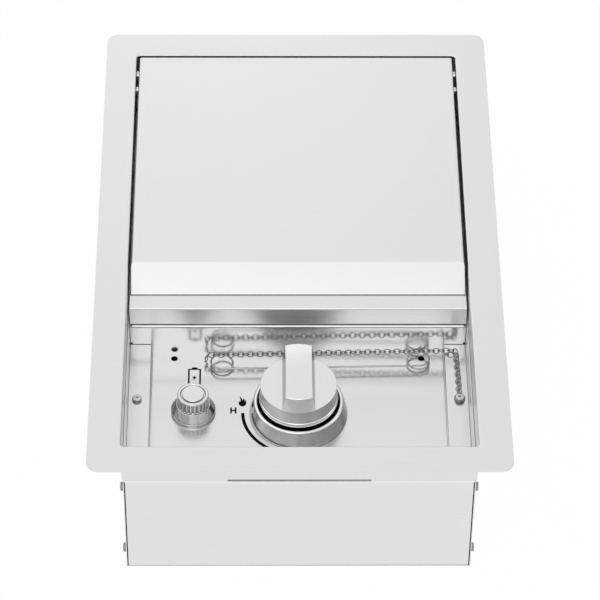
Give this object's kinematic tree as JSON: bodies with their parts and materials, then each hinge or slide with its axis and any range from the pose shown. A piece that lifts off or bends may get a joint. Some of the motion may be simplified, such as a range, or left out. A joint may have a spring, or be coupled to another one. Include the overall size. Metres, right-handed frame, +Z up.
{
  "type": "built in side burner",
  "caption": "Built-in gas side burner with a flush hinged lid, a sunken control recess with a push-and-turn knob, an igniter button and a match holder on a chain.",
  "frame": {"origin": "centre of the footprint, on the underside of the body's floor", "axes": "+X to the right seen from the control recess, +Y to the rear along the long side, +Z up"},
  "size_m": [0.34, 0.525, 0.15],
  "materials": {
    "stainless": "brushed",
    "polished": "polished",
    "galvanised": "matte zinc",
    "brass": "machined",
    "cast_iron": "matte",
    "black_plastic": "matte",
    "ceramic": "glazed",
    "lead_rubber": "matte",
    "cell": "satin"
  },
  "bodies": {
    "base": {"top_frame": "stainless", "side_panel_left": "stainless", "side_panel_right": "stainless", "front_panel": "stainless", "rear_panel": "stainless", "bottom_pan": "galvanised", "box_rail_front": "galvanised", "box_rail_rear": "galvanised", "burner_box": "stainless", "control_panel": "stainless", "panel_rail_left": "galvanised", "panel_rail_right": "galvanised", "side_screw_left_front_upper": "polished", "side_screw_left_front_lower": "polished", "side_screw_left_rear_upper": "polished", "side_screw_left_rear_lower": "polished", "side_screw_right_front_upper": "polished", "side_screw_right_front_lower": "polished", "side_screw_right_rear_upper": "polished", "side_screw_right_rear_lower": "polished", "panel_screw_left": "polished", "panel_screw_right": "polished", "hinge_pin_left": "polished", "hinge_pin_right": "polished", "stop_pin_left": "polished", "stop_pin_right": "polished", "hinge_clip_left": "galvanised", "hinge_clip_right": "galvanised", "burner_base": "cast_iron", "burner_bracket": "galvanised", "venturi_tube": "galvanised", "injector": "brass", "valve_body": "brass", "knob_bezel": "polished", "igniter_body": "black_plastic", "igniter_nut": "black_plastic", "igniter_bezel": "polished", "igniter_battery": "cell", "electrode_ceramic": "ceramic", "electrode_pin": "galvanised", "ignition_lead": "lead_rubber", "supply_pipe": "galvanised", "inlet_fitting": "brass", "inlet_locknut": "brass", "match_holder": "polished", "match_chain": "polished"},
    "lid": {"lid_panel": "stainless", "hinge_plate_left": "galvanised", "hinge_plate_right": "galvanised", "lid_handle": "stainless"},
    "grate": {"grate": "cast_iron"},
    "burner_cap": {"burner_cap": "cast_iron"},
    "air_shutter": {"air_shutter": "galvanised"},
    "valve_plunger": {"valve_collar": "brass"},
    "knob": {"knob": "polished", "valve_stem": "brass"},
    "igniter_button": {"igniter_cap": "polished"}
  },
  "joints": [
    {"name": "lid_hinge", "type": "hinge", "parent": "base", "child": "lid", "pos_m": [0, 0.2165, 0.142], "axis": [-1, 0, 0], "range_deg": [0, 100]},
    {"name": "knob_push", "type": "slide", "parent": "base", "child": "valve_plunger", "axis": [0, 0, -1], "range_m": [0, 0.003], "stiffness_N_per_m": 2500, "springref_m": -0.003},
    {"name": "knob_turn", "type": "hinge", "parent": "valve_plunger", "child": "knob", "pos_m": [0, -0.1355, 0.1], "axis": [0, 0, 1], "range_deg": [0, 180]},
    {"name": "igniter_push", "type": "slide", "parent": "base", "child": "igniter_button", "axis": [0, 0, -1], "range_m": [0, 0.003], "stiffness_N_per_m": 1200, "springref_m": -0.003},
    {"name": "grate_lift", "type": "slide", "parent": "base", "child": "grate", "axis": [0, 0, 1], "range_m": [0, 0.008]},
    {"name": "burner_cap_lift", "type": "slide", "parent": "base", "child": "burner_cap", "axis": [0, 0, 1], "range_m": [0, 0.008]},
    {"name": "air_shutter_turn", "type": "hinge", "parent": "base", "child": "air_shutter", "pos_m": [0, -0.0905, 0.055], "axis": [0, 1, 0], "range_deg": [-40, 40]}
  ]
}
